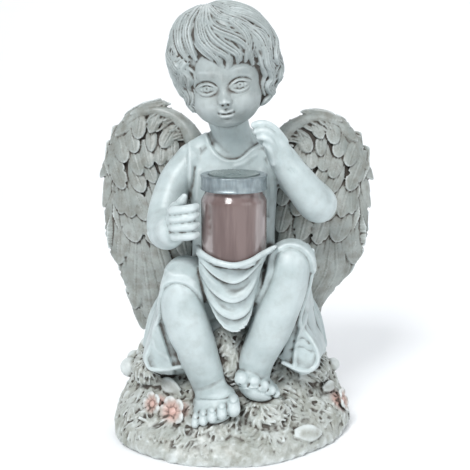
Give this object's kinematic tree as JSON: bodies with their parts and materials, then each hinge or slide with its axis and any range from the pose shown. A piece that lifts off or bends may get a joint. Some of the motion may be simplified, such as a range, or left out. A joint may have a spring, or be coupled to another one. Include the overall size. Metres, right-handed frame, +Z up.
{
  "type": "solar angel figurine",
  "caption": "Seated winged cherub of white resin on a grassy mound, holding a lidded glass solar jar in its lap.",
  "frame": {"origin": "on the ground under the middle of the mound", "axes": "+Z up, +X to the figure's left (the viewer's right), the figure faces -Y"},
  "size_m": [0.2051, 0.1504, 0.2985],
  "materials": {
    "resin": "matte cast resin, white with a grey-brown wash in its hollows",
    "glass": "rose-tinted, slightly clouded",
    "lid_metal": "satin, weathered blue-grey",
    "panel": "smooth, dull sheen"
  },
  "bodies": {
    "root": {"angel_statue": "resin", "glass_jar": "glass", "jar_lid": "lid_metal", "solar_panel": "panel"}
  },
  "joints": []
}
